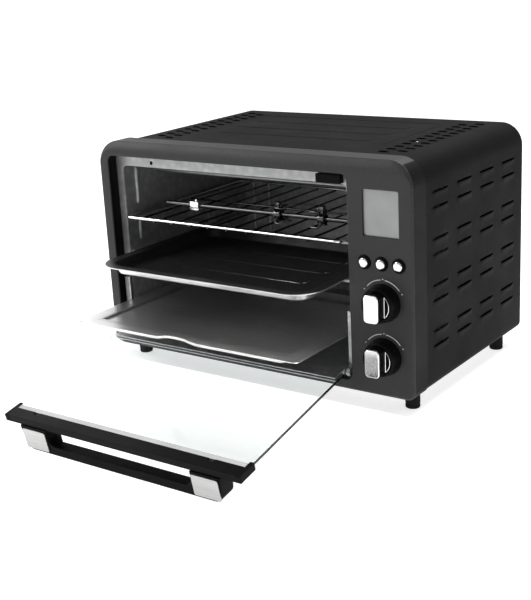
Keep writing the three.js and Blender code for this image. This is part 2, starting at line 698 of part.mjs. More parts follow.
// A four-pronged fork; its prongs point towards +X when facing is 1.
function spitFork(x, facing) {
  const hub = rod([x - 5, SPIT_Y, SPIT_Z], [x + 5, SPIT_Y, SPIT_Z], 7.2, 14);
  const parts = [hub];
  for (let i = 0; i < 4; i += 1) {
    const angle = Math.PI / 4 + (i * Math.PI) / 2;
    const y = SPIT_Y + Math.cos(angle) * PRONG_RING;
    const z = SPIT_Z + Math.sin(angle) * PRONG_RING;
    parts.push(rod([x, SPIT_Y + Math.cos(angle) * 5.5, SPIT_Z + Math.sin(angle) * 5.5], [x, y, z], 1.3, 6));
    parts.push(rod([x - facing, y, z], [x + facing * PRONG_LENGTH, y, z], 1.3, 6));
  }
  const screw = rod([x, SPIT_Y, SPIT_Z + 5.5], [x, SPIT_Y, SPIT_Z + 14], 2, 10);
  const head = rod([x, SPIT_Y, SPIT_Z + 12], [x, SPIT_Y, SPIT_Z + 17], 5, 12);
  parts.push(screw, head);
  const bore = rod([x - 9, SPIT_Y, SPIT_Z], [x + 9, SPIT_Y, SPIT_Z], SPIT_RADIUS + GAP, 12);
  return wasm.Manifold.union(parts).subtract(bore);
}

// ---------- every piece, placed ----------
place('outer_wrap', outerWrap(), 'coat');
place('front_bezel', frontBezel(), 'bezel');
place('base_pan', basePan(), 'zinc');
place('rear_panel', rearPanel(), 'coat');
place('cord_gland', cordGland(), 'rubber');
for (const [name, x, y] of [
  ['foot_front_left', -FOOT_X, -FOOT_Y], ['foot_front_right', FOOT_X, -FOOT_Y],
  ['foot_rear_left', -FOOT_X, FOOT_Y], ['foot_rear_right', FOOT_X, FOOT_Y],
]) {
  place(name, foot(x, y), 'rubber');
}

place('cavity_front_frame', cavityFrontFrame(), 'enamel');
place('cavity_left_wall', cutAll(cavitySide(CAVITY.left, -1), heaterHoles(CAVITY.left)), 'enamel');
place('cavity_right_wall', cavityRightWall(), 'enamel');
place('cavity_top', cavitySheet(CAVITY.top + GAP, CAVITY.top + GAP + SHEET), 'enamel');
place('cavity_floor', cavitySheet(CAVITY.bottom - GAP - SHEET, CAVITY.bottom - GAP), 'enamel');
place('cavity_rear_wall', cavityRearWall(), 'enamel');
for (const [level, z] of Object.entries(HEATER_ZS)) {
  for (const [where, y] of Object.entries(HEATER_YS)) {
    place(`heater_${level}_${where}`, heater(y, z), 'steel');
  }
}
place('door_catch', block(105, 141, -150, CAVITY.front - SHEET - GAP, 260, 271), 'plastic');
place('hinge_bracket_left', hingeBracket(-1), 'zinc');
place('hinge_bracket_right', hingeBracket(1), 'zinc');
place('spit_support', spitSupport(), 'steel');
place('drive_socket', driveSocket(), 'steel');
place('temperature_probe', rod([PROBE.inside, PROBE.y, PROBE.z], [CAVITY.right + 8, PROBE.y, PROBE.z],
  PROBE.radius, 10), 'steel');

place('bay_heat_shield', bayHeatShield(), 'zinc');
place('rotisserie_motor', rotisserieMotor(), 'zinc');
place('power_board', powerBoard(), 'board');
place('transformer', transformer(), 'zinc');
place('control_board', controlBoard(), 'board');
place('display_module', block(179, 222.7, -153.5, -146.5, 205, 256.6), 'plastic');
place('display_window', block(DISPLAY.left - 2, DISPLAY.right + 2, -157.2, -155.6,
  DISPLAY.bottom - 2, DISPLAY.top + 2), 'lens');
BUTTON_XS.forEach((x, i) => {
  place(`button_collar_${i + 1}`, buttonCollar(x), 'plastic');
  place(`button_${i + 1}`, button(x), 'chrome');
});
for (const [name, z] of Object.entries(KNOB_HEIGHTS)) {
  place(name, knobBody(z), 'plastic');
  place(`${name}_cap`, knobCap(z), 'chrome');
  place(name.replace('knob', 'encoder'), encoder(z), 'steel');
}

place('door_glass', along(GLASS.left, GLASS.right, GLASS.start, GLASS.end, GLASS.low, GLASS.high), 'glass', doorGroup);
place('door_hinge_rail', hingeRail(), 'zinc', doorGroup);
place('door_top_trim', doorTopTrim(), 'plastic', doorGroup);
place('door_end_cap_left', doorEndCap(-1), 'plastic', doorGroup);
place('door_end_cap_right', doorEndCap(1), 'plastic', doorGroup);
place('handle_bar', handleBar(), 'plastic', doorGroup);
place('handle_cap_left', handleCap(-1), 'steel', doorGroup);
place('handle_cap_right', handleCap(1), 'steel', doorGroup);

place('wire_rack', wireRack(), 'chrome');
place('rack_cross_wire', rackCrossWire(), 'chrome');
place('bake_tray', pressedTray(BAKE_TRAY), 'nonstick');
place('crumb_tray', pressedTray(CRUMB_TRAY), 'steel');
place('spit_rod', spitRod(), 'chrome');
place('spit_fork_left', spitFork(FORK_XS[0], 1), 'chrome');
place('spit_fork_right', spitFork(FORK_XS[1], -1), 'chrome');

export default oven;
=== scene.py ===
"""Looks for the countertop toaster oven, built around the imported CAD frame."""

import json
import math

import bmesh
import bpy
from mathutils import Matrix, Vector


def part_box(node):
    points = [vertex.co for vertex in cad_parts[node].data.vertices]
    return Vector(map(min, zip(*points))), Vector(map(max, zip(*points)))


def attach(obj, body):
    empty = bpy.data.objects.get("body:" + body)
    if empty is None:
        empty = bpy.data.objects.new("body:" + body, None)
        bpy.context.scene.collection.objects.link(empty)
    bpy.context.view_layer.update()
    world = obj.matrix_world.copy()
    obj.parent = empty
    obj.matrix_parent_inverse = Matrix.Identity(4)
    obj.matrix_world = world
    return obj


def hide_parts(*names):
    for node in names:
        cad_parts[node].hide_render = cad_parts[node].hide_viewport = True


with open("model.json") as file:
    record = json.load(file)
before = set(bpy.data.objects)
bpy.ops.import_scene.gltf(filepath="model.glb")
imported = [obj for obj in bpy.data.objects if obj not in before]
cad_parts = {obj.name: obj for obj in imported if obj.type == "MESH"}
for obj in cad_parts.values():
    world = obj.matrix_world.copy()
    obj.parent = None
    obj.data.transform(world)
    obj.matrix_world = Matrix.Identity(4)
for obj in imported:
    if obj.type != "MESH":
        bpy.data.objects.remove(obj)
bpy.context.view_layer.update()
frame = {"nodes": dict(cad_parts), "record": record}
MM = 0.001
SCENE = bpy.context.scene


# ---------- camera, floor and light ----------
CAMERA_PLACE = (0.8738, -1.31296, 0.54062)
CAMERA_LENS = 69.57
CAMERA_HEADING = 36.273
CAMERA_DROP = 17.0606
CAMERA_ROLL = -3.0929
STAGE_HALF = 0.6
PLINTH_FRONT = -0.155
PLINTH_BACK = 0.6
PLINTH_LIFT = 0.02
FLOOR_REACH = 30
FLOOR_DEPTH = 0.2
LIGHT_AIM = (0, 0, 0.12)


def add_camera():
    """Looks at the part from the front right, a little above it; the angles are in degrees."""
    data = bpy.data.cameras.new("camera")
    data.lens = CAMERA_LENS
    data.sensor_width = 36
    data.clip_start = 0.05
    data.clip_end = 30
    camera = bpy.data.objects.new("camera", data)
    SCENE.collection.objects.link(camera)
    turn = Matrix.Identity(4)
    for angle, axis in ((CAMERA_HEADING, "Z"), (90 - CAMERA_DROP, "X"), (CAMERA_ROLL, "Z")):
        turn = turn @ Matrix.Rotation(math.radians(angle), 4, axis)
    camera.matrix_world = Matrix.Translation(CAMERA_PLACE) @ turn
    SCENE.camera = camera


def pale_material(name, grey, glow):
    material = bpy.data.materials.new(name)
    material.use_nodes = True
    shader = material.node_tree.nodes["Principled BSDF"]
    shader.inputs["Base Color"].default_value = (grey, grey, grey, 1)
    shader.inputs["Roughness"].default_value = 0.9
    shader.inputs["Specular IOR Level"].default_value = 0.0
    shader.inputs["Emission Color"].default_value = (1, 1, 1, 1)
    shader.inputs["Emission Strength"].default_value = glow
    return material


def add_stage():
    """A plinth under the feet, with the opened door hanging past its front edge, on a wide floor."""
    foot_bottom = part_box("foot_front_left")[0].z
    floor_z = min(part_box("handle_bar")[0].z, foot_bottom) - PLINTH_LIFT
    pale = pale_material("stage_pale", 0.7, 0.72)
    reach = FLOOR_REACH
    for name, low, high in (
        ("stage_plinth", (-STAGE_HALF, PLINTH_FRONT, floor_z - 0.01), (STAGE_HALF, PLINTH_BACK, foot_bottom)),
        ("stage_floor", (-reach, -reach, floor_z - FLOOR_DEPTH), (reach, reach, floor_z)),
    ):
        mesh = bpy.data.meshes.new(name)
        made = bmesh.new()
        bmesh.ops.create_cube(made, size=1)
        for v in made.verts:
            v.co = Vector(low[i] + (high[i] - low[i]) * (v.co[i] + 0.5) for i in range(3))
        made.to_mesh(mesh)
        made.free()
        mesh.materials.append(pale)
        stage_piece = bpy.data.objects.new(name, mesh)
        SCENE.collection.objects.link(stage_piece)


def add_lights():
    world = bpy.data.worlds.new("studio")
    world.use_nodes = True
    world.node_tree.nodes["Background"].inputs["Color"].default_value = (1, 1, 1, 1)
    world.node_tree.nodes["Background"].inputs["Strength"].default_value = 0.42
    SCENE.world = world
    for name, place, size, power in (
        ("key", (-1.7, -1.5, 1.5), 1.2, 34),
        ("top", (0.3, 0.7, 2.0), 1.3, 48),
        ("card", (-2.6, 0.9, 0.8), 2.0, 26),
    ):
        data = bpy.data.lights.new(name, "AREA")
        data.size = size
        data.energy = power
        light = bpy.data.objects.new(name, data)
        light.location = place
        light.rotation_euler = (Vector(LIGHT_AIM) - Vector(place)).to_track_quat("-Z", "Y").to_euler()
        SCENE.collection.objects.link(light)
    SCENE.view_settings.view_transform = "Standard"
    SCENE.view_settings.look = "None"


# ---------- materials ----------
class Finish:
    """A Principled material whose colour, roughness and bump come from procedural textures."""

    def __init__(self, name, color, roughness, metallic=0.0, **fixed):
        self.material = bpy.data.materials.new(name)
        self.material.use_nodes = True
        self.tree = self.material.node_tree
        self.shader = self.tree.nodes["Principled BSDF"]
        self.shader.inputs["Base Color"].default_value = (*color, 1)
        self.shader.inputs["Roughness"].default_value = roughness
        self.shader.inputs["Metallic"].default_value = metallic
        for socket, value in fixed.items():
            self.shader.inputs[socket.replace("_", " ")].default_value = value
        self.color = color
        self.roughness = roughness
        self.place = self.tree.nodes.new("ShaderNodeTexCoord").outputs["Object"]
        self.height = None

    def noise(self, scale, stretch=(1, 1, 1), detail=4, rough=0.6):
        mapping = self.tree.nodes.new("ShaderNodeMapping")
        mapping.inputs["Scale"].default_value = stretch
        self.tree.links.new(self.place, mapping.inputs["Vector"])
        noise = self.tree.nodes.new("ShaderNodeTexNoise")
        noise.inputs["Scale"].default_value = scale
        noise.inputs["Detail"].default_value = detail
        noise.inputs["Roughness"].default_value = rough
        self.tree.links.new(mapping.outputs["Vector"], noise.inputs["Vector"])
        return noise.outputs["Fac"]

    def cells(self, scale, feature="F1"):
        cells = self.tree.nodes.new("ShaderNodeTexVoronoi")
        cells.feature = feature
        cells.inputs["Scale"].default_value = scale
        self.tree.links.new(self.place, cells.inputs["Vector"])
        return cells

    def spread(self, value, low, high, start=0.3, end=0.7):
        ranged = self.tree.nodes.new("ShaderNodeMapRange")
        for socket, number in zip(("From Min", "From Max", "To Min", "To Max"), (start, end, low, high)):
            ranged.inputs[socket].default_value = number
        self.tree.links.new(value, ranged.inputs["Value"])
        return ranged.outputs["Result"]

    def mottle(self, value, other, start=0.35, end=0.65):
        """Mixes the base colour towards another where the value is high."""
        mix = self.tree.nodes.new("ShaderNodeMix")
        mix.data_type = "RGBA"
        self.tree.links.new(self.spread(value, 0, 1, start, end), mix.inputs["Factor"])
        source = self.shader.inputs["Base Color"]
        if source.is_linked:
            self.tree.links.new(source.links[0].from_socket, mix.inputs["A"])
        else:
            mix.inputs["A"].default_value = (*self.color, 1)
        mix.inputs["B"].default_value = (*other, 1)
        self.tree.links.new(mix.outputs["Result"], source)
        return self

    def sheen_of(self, value, low, high):
        """Lets the roughness wander between two values."""
        self.tree.links.new(self.spread(value, low, high), self.shader.inputs["Roughness"])
        return self

    def bump(self, value, depth, strength=0.6):
        bump = self.tree.nodes.new("ShaderNodeBump")
        bump.inputs["Strength"].default_value = strength
        bump.inputs["Distance"].default_value = depth
        self.tree.links.new(value, bump.inputs["Height"])
        if self.height is not None:
            self.tree.links.new(self.height, bump.inputs["Normal"])
        self.height = bump.outputs["Normal"]
        self.tree.links.new(self.height, self.shader.inputs["Normal"])
        return self


def powder_coat(name, grey, light, roughness, gloss=0.3):
    made = Finish(name, (grey, grey, grey * 1.02), roughness, 0.0, Specular_IOR_Level=gloss)
    made.mottle(made.noise(1500, detail=2), (light, light, light), 0.56, 0.72)
    made.mottle(made.noise(9, detail=3), (grey * 1.25, grey * 1.25, grey * 1.27), 0.4, 0.75)
    made.sheen_of(made.noise(14), roughness - 0.06, roughness + 0.06)
    made.bump(made.noise(1100, detail=3, rough=0.7), 0.00018, 0.55)
    return made.material


def moulded(name, grey, roughness, grain=900, depth=0.00006):
    made = Finish(name, (grey, grey, grey), roughness, 0.0, Specular_IOR_Level=0.05)
    made.mottle(made.noise(12), (grey * 1.6, grey * 1.6, grey * 1.6), 0.45, 0.8)
    made.sheen_of(made.noise(25), roughness - 0.05, roughness + 0.08)
    made.bump(made.noise(grain, detail=3), depth, 0.4)
    return made.material


def brushed(name, grey, roughness, stretch, depth=0.00002, scale=700):
    made = Finish(name, (grey, grey, grey * 0.99), roughness, 1.0)
    lines = made.noise(scale, stretch, detail=5)
    made.mottle(lines, (grey * 0.82, grey * 0.82, grey * 0.82), 0.4, 0.75)
    made.sheen_of(made.noise(scale * 0.7, stretch, detail=3), roughness - 0.06, roughness + 0.1)
    made.bump(lines, depth, 0.5)
    return made.material


def sheet_zinc(name, grey, roughness, metallic=0.9):
    made = Finish(name, (grey, grey, grey * 1.01), roughness, metallic)
    spangle = made.cells(90)
    made.mottle(spangle.outputs["Distance"], (grey * 0.78, grey * 0.79, grey * 0.8), 0.1, 0.6)
    made.sheen_of(made.noise(60), roughness - 0.07, roughness + 0.1)
    made.bump(made.noise(500), 0.00003, 0.3)
    return made.material


def glass_material():
    made = Finish("door_glass_look", (0.975, 0.995, 0.99), 0.02, 0.0, Transmission_Weight=1.0, IOR=1.45)
    made.sheen_of(made.noise(18), 0.0, 0.03)
    made.bump(made.noise(6, detail=1), 0.00002, 0.2)
    absorb = made.tree.nodes.new("ShaderNodeVolumeAbsorption")
    absorb.inputs["Color"].default_value = (0.35, 0.8, 0.82, 1)
    absorb.inputs["Density"].default_value = 5.0
    output = made.tree.nodes["Material Output"]
    made.tree.links.new(absorb.outputs["Volume"], output.inputs["Volume"])
    return made.material


def lens_material():
    made = Finish("display_lens_look", (0.2, 0.203, 0.203), 0.12, 0.0, Coat_Weight=0.6, Coat_Roughness=0.03)
    made.mottle(made.noise(22, detail=2), (0.25, 0.254, 0.254), 0.35, 0.7)
    made.sheen_of(made.noise(40), 0.1, 0.2)
    made.bump(made.noise(300), 0.00001, 0.2)
    return made.material


def board_material():
    made = Finish("circuit_board_look", (0.02, 0.10, 0.045), 0.45, 0.0, Coat_Weight=0.4)
    made.mottle(made.noise(160, (1, 1, 6), detail=1), (0.05, 0.18, 0.08), 0.5, 0.55)
    made.sheen_of(made.noise(80), 0.35, 0.55)
    made.bump(made.noise(160, (1, 1, 6), detail=1), 0.00004, 0.5)
    return made.material


def nonstick_material():
    made = Finish("nonstick_look", (0.026, 0.026, 0.027), 0.38, 0.3, Specular_IOR_Level=0.2)
    made.mottle(made.noise(1300, detail=2), (0.1, 0.1, 0.103), 0.6, 0.75)
    made.sheen_of(made.noise(30), 0.32, 0.46)
    made.bump(made.noise(900, detail=2), 0.00005, 0.4)
    return made.material


LOOKS = {
    "body_coat": powder_coat("body_coat_look", 0.006, 0.014, 0.54, 0.035),
    "bezel_coat": powder_coat("bezel_coat_look", 0.018, 0.09, 0.48, 0.3),
    "zinc_sheet": sheet_zinc("zinc_sheet_look", 0.5, 0.38),
    "cavity_sheet": sheet_zinc("cavity_sheet_look", 0.42, 0.4, 0.6),
    "heater_sheath": brushed("heater_sheath_look", 0.32, 0.42, (0.05, 1, 1)),
    "black_plastic": moulded("black_plastic_look", 0.003, 0.42),
    "knob_plastic": moulded("knob_plastic_look", 0.004, 0.22, 1400, 0.00002),
    "bright_metal": brushed("bright_metal_look", 0.86, 0.12, (1, 1, 1), 0.000004, 900),
    "handle_steel": brushed("handle_steel_look", 0.5, 0.3, (0.03, 1, 1)),
    "tray_steel": brushed("tray_steel_look", 0.72, 0.34, (0.05, 1, 1)),
    "nonstick": nonstick_material(),
    "door_glass": glass_material(),
    "display_lens": lens_material(),
    "circuit_board": board_material(),
    "rubber": moulded("rubber_look", 0.012, 0.75, 500, 0.00012),
}
NODE_LOOKS = {
    "handle_bar": moulded("handle_bar_look", 0.0012, 0.5),
}
NODE_SLOT = {part["node"]: part["material_slot"] for part in frame["record"]["subparts"]}


# ---------- mesh tools, in millimetres ----------
AXIS_RADIUS = 0.01


def add_piece(name, verts, faces, slot, body="oven_body", stands_for=(), crease=40, look=None):
    mesh = bpy.data.meshes.new(name)
    mesh.from_pydata([[c * MM for c in v] for v in verts], [], faces)
    made = bmesh.new()
    made.from_mesh(mesh)
    bmesh.ops.remove_doubles(made, verts=made.verts, dist=2e-6)
    bmesh.ops.recalc_face_normals(made, faces=made.faces)
    made.to_mesh(mesh)
    made.free()
    mesh.materials.append(look or LOOKS[slot])
    mesh.shade_smooth()
    mesh.set_sharp_from_angle(angle=math.radians(crease))
    piece = bpy.data.objects.new(name, mesh)
    SCENE.collection.objects.link(piece)
    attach(piece, body)
    if stands_for:
        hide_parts(*stands_for)
    normals = piece.modifiers.new("normals", "WEIGHTED_NORMAL")
    normals.keep_sharp = True
    return piece


def around(steps):
    """Angles spread once round a circle."""
    return [2 * math.pi * i / steps for i in range(steps)]


def quarter(steps, first=0):
    """Angles from nothing to a right angle, from the given step on."""
    return [math.pi / 2 * k / steps for k in range(first, steps + 1)]


class Solid:
    """A list of vertices and faces that several shapes are added to."""

    def __init__(self):
        self.verts = []
        self.faces = []

    def loft(self, rings, ends=True, closed=True):
        start, count = len(self.verts), len(rings[0])
        for ring in rings:
            self.verts += [tuple(p) for p in ring]
        for r in range(len(rings) - 1):
            for i in range(count if closed else count - 1):
                a = start + r * count + i
                b = start + r * count + (i + 1) % count
                self.faces.append((a, b, b + count, a + count))
        if ends:
            self.faces.append(tuple(range(start, start + count)))
            last = start + (len(rings) - 1) * count
            self.faces.append(tuple(range(last, last + count)))
        return self

    def lathe(self, profile, x, z, steps=40):
        """Turns a (radius, y) profile that starts and ends on its axis, which runs along Y through x, z."""
        rings = []
        for radius, y in profile:
            radius = max(radius, AXIS_RADIUS)
            rings.append([(x + radius * math.cos(a), y, z + radius * math.sin(a)) for a in around(steps)])
        return self.loft(rings)

    def ring_lathe(self, profile, x, z, steps=40):
        """Turns a (radius, y) outline that is clear of the axis into a closed ring."""
        rings = []
        for radius, y in [*profile, profile[0]]:
            rings.append([(x + radius * math.cos(a), y, z + radius * math.sin(a)) for a in around(steps)])
        return self.loft(rings, ends=False)

    def tube(self, points, radius, sides=10, cyclic=False, taper=None):
        """A round bar along a path; taper gives each point's share of the radius."""
        path = [Vector(p) for p in points]
        count = len(path)
        rings = []
        side = None
        for i, p in enumerate(path):
            before = path[i - 1] if i or cyclic else p
            after = path[(i + 1) % count] if i < count - 1 or cyclic else p
            ahead = (after - before).normalized()
            if side is None:
                side = ahead.orthogonal().normalized()
            side = (side - ahead * side.dot(ahead)).normalized()
            up = ahead.cross(side)
            r = radius * (taper[i] if taper else 1)
            rings.append([p + (side * math.cos(a) + up * math.sin(a)) * r for a in around(sides)])
        if cyclic:
            rings.append(rings[0])
        return self.loft(rings, ends=not cyclic)

    def slab(self, x0, z0, x1, z1, radius, front, back, edge, steps=6):
        """A rounded rectangle standing in X and Z, its front edges rounded over."""
        rings = [[(x, back, z) for x, z, _, _ in rounded_ring(x0, z0, x1, z1, [radius] * 4, steps)]]
        for a in quarter(4):
            d = edge * (1 - math.cos(a))
            y = front + edge * (1 - math.sin(a))
            rings.append([(x - nx * d, y, z - nz * d)
                          for x, z, nx, nz in rounded_ring(x0, z0, x1, z1, [radius] * 4, steps)])
        return self.loft(rings)

    def piece(self, name, slot, **options):
        return add_piece(name, self.verts, self.faces, slot, **options)


def rounded_ring(x0, z0, x1, z1, radii, steps=8, straight=1):
    """Points round a rounded rectangle with their outward directions, from its lower left corner on."""
    low_left, low_right, high_right, high_left = radii
    corners = (
        (x0 + low_left, z0 + low_left, low_left, 180),
        (x1 - low_right, z0 + low_right, low_right, 270),
        (x1 - high_right, z1 - high_right, high_right, 0),
        (x0 + high_left, z1 - high_left, high_left, 90),
    )
    ring = []
    for cx, cz, radius, start in corners:
        for i in range(steps + 1):
            a = math.radians(start + 90 * i / steps)
            ring.append((cx + radius * math.cos(a), cz + radius * math.sin(a), math.cos(a), math.sin(a)))
    if straight == 1:
        return ring
    filled = []
    for i, (x, z, nx, nz) in enumerate(ring):
        filled.append((x, z, nx, nz))
        if (i + 1) % (steps + 1) == 0:
            after_x, after_z = ring[(i + 1) % len(ring)][:2]
            for k in range(1, straight):
                t = k / straight
                filled.append((x + (after_x - x) * t, z + (after_z - z) * t, nx, nz))
    return filled


def fill_between(solid, loops):
    """Fills the flat area inside the first loop and outside the others."""
    made = bmesh.new()
    edges = []
    for loop in loops:
        corners = [made.verts.new(p) for p in loop]
        edges += [made.edges.new((corners[i], corners[(i + 1) % len(corners)])) for i in range(len(corners))]
    bmesh.ops.triangle_fill(made, use_beauty=True, use_dissolve=False, edges=edges)
    made.verts.index_update()
    start = len(solid.verts)
    solid.verts += [tuple(v.co) for v in made.verts]
    solid.faces += [tuple(start + v.index for v in face.verts) for face in made.faces]
    made.free()


def filled_lines(needed, step):
    """Grid lines that hold every needed value, with no two further apart than step."""
    needed = sorted(set(round(v, 3) for v in needed))
    lines = []
    for a, b in zip(needed, needed[1:]):
        if b - a < 0.05:
            continue
        parts = max(1, math.ceil((b - a) / step))
        lines += [a + (b - a) * k / parts for k in range(parts)]
    return [*lines, needed[-1]]


def mm_box(node):
    low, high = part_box(node)
    return [c / MM for c in low], [c / MM for c in high]


def round_place(node):
    """The middle of a round node in X and Z, and its radius."""
    low, high = mm_box(node)
    return (low[0] + high[0]) / 2, (low[2] + high[2]) / 2, (high[0] - low[0]) / 2


# ---------- outer wrap ----------
WRAP_LOW, WRAP_HIGH = mm_box("outer_wrap")
FRONT_FACE = mm_box("front_bezel")[0][1]
TOP_Z = WRAP_HIGH[2]
SIDE_X = WRAP_HIGH[0]
LOUVRE_LENGTH = 39.2
LOUVRE_FIRST, LOUVRE_PITCH = 57.2, 65.06
LOUVRE_TOP, LOUVRE_STEP, LOUVRE_TWIN = 248.6, 58.29, 19.31
LOUVRES = [
    (FRONT_FACE + LOUVRE_FIRST + LOUVRE_PITCH * column,
     LOUVRE_TOP - LOUVRE_STEP * (row // 2) - LOUVRE_TWIN * (row % 2))
    for column in range(4) for row in range(8)
]
VENT_X, VENT_SHIFT = 170, 21
VENT_FIRST, VENT_PITCH = -96, 19.5
VENT_HALF = 7.5
VENTS = [
    (side * (VENT_X + VENT_SHIFT * c), VENT_FIRST + VENT_PITCH * r + VENT_PITCH / 2 * c)
    for side in (-1, 1) for r in range(12) for c in range(2)
]
RIDGES = [(-131, 106, -34), (-133, 106, 16), (-133, 106, 66)]
SLOT = 1.1
TOP_BEND = 30
FOOT_BEND = 10
FOOT_FLANGE_X = -216
WRAP_SHEET = 1.1


def hood(along, half, away, height, reach):
    """How far the pressed hood beside a slot stands out."""
    if abs(along) > half or away < -0.01:
        return 0.0
    ends = max(0.0, 1 - (abs(along) / half) ** 4)
    return height * ends * math.exp(-((away / reach) ** 2))


def near_path(x, y, path):
    """Distance from a point to a path of straight stretches."""
    best = 1e9
    for (ax, ay), (bx, by) in zip(path, path[1:]):
        dx, dy = bx - ax, by - ay
        t = max(0.0, min(1.0, ((x - ax) * dx + (y - ay) * dy) / (dx * dx + dy * dy)))
        best = min(best, math.hypot(x - ax - t * dx, y - ay - t * dy))
    return best


def bead_paths():
    paths = []
    for x0, x1, y in RIDGES:
        paths.append([(x0, y), (x1, y), (x1 + 5, y + 1.5), (x1 + 8, y + 5), (x1 + 8.5, y + 16)])
    paths.append([(-166, -54), (-169, 104), (-168, 112), (-162, 117), (137, 117)])
    paths.append([(145, -49), (145, 104)])
    return paths


BEADS = bead_paths()


def top_relief(x, y):
    rise = 0.0
    for vx, vy in VENTS:
        if abs(x - vx) < 8:
            rise = max(rise, hood(x - vx, 8, y - vy - SLOT, 1.5, 3.4))
    if rise:
        return rise
    distance = min(near_path(x, y, path) for path in BEADS)
    return -1.1 * math.exp(-((distance / 1.5) ** 2)) if distance < 6 else 0.0


def side_relief(y, z):
    for ly, lz in LOUVRES:
        if abs(y - ly - LOUVRE_LENGTH / 2) < LOUVRE_LENGTH / 2 + 1 and lz - 9 < z < lz:
            return hood(y - ly - LOUVRE_LENGTH / 2, LOUVRE_LENGTH / 2 + 0.6, lz - SLOT - z, 1.9, 4.6)
    return 0.0


def wrap_piece():
    top_lines = [-SIDE_X + TOP_BEND, SIDE_X - TOP_BEND]
    for vx, _ in VENTS:
        top_lines += [vx - VENT_HALF, vx + VENT_HALF]
    for x in (-169, -166, 145):
        top_lines += [x - 2, x, x + 2]
    y_lines = [WRAP_LOW[1], WRAP_HIGH[1]]
    for _, vy in VENTS:
        y_lines += [vy - SLOT, vy + SLOT]
    for ly, _ in LOUVRES:
        y_lines += [ly, ly + LOUVRE_LENGTH]
    for y in [*(ridge[2] for ridge in RIDGES), 117]:
        y_lines += [y - 2.2, y - 1, y, y + 1, y + 2.2]
    z_lines = [FOOT_BEND, TOP_Z - TOP_BEND]
    for _, lz in LOUVRES:
        z_lines += [lz - SLOT, lz + SLOT, lz - SLOT - 2, lz - SLOT - 4.5, lz - SLOT - 8]
    xs = filled_lines(top_lines, 3)
    ys = filled_lines(y_lines, 3.2)
    zs = filled_lines(z_lines, 5)
    line = [(FOOT_FLANGE_X, 0, "foot"), (-SIDE_X + FOOT_BEND, 0, "foot")]
    line += [(-SIDE_X + FOOT_BEND - FOOT_BEND * math.sin(a), FOOT_BEND - FOOT_BEND * math.cos(a), "bend")
             for a in quarter(6, 1)[:-1]]
    line += [(-SIDE_X, z, "side") for z in zs]
    line += [(-SIDE_X + TOP_BEND - TOP_BEND * math.cos(a), TOP_Z - TOP_BEND + TOP_BEND * math.sin(a), "bend")
             for a in quarter(12, 1)[:-1]]
    line += [(x, TOP_Z, "top") for x in xs]
    line += [(-x, z, kind) for x, z, kind in reversed(line[: -len(xs)])]
    solid = Solid()
    for y in ys:
        for x, z, kind in line:
            if kind == "top":
                solid.verts.append((x, y, z + top_relief(x, y)))
            elif kind == "side":
                solid.verts.append((x + math.copysign(side_relief(y, z), x), y, z))
            else:
                solid.verts.append((x, y, z))
    count = len(line)
    for j in range(len(ys) - 1):
        middle_y = (ys[j] + ys[j + 1]) / 2
        for i in range(count - 1):
            (x0, z0, kind), (x1, z1, other) = line[i], line[i + 1]
            x, z = (x0 + x1) / 2, (z0 + z1) / 2
            if kind == other == "top" and any(
                    abs(x - vx) < VENT_HALF and abs(middle_y - vy) < SLOT for vx, vy in VENTS):
                continue
            if kind == other == "side" and any(
                    ly < middle_y < ly + LOUVRE_LENGTH and abs(z - lz) < SLOT for ly, lz in LOUVRES):
                continue
            a = j * count + i
            solid.faces.append((a, a + 1, a + 1 + count, a + count))
    piece = solid.piece("outer_wrap_shell", "body_coat", stands_for=("outer_wrap",), crease=50)
    thick = piece.modifiers.new("sheet", "SOLIDIFY")
    thick.thickness = WRAP_SHEET * MM
    thick.offset = -1
    piece.modifiers.move(len(piece.modifiers) - 1, 0)
    return piece


# ---------- front bezel ----------
BEZEL_DEPTH = 33.4
BEZEL_WALL = 3
BEZEL_ROUND = 1.3
BEZEL_PLATE = 5.2
MOUTH = (-228, 14, 155, 274.6)
MOUTH_ROUND = 1.6
MOUTH_SHEET = 1.5
MOUTH_BACK = -143
DISPLAY_HOLE = (176.5, 202.4, 225.2, 259.2)


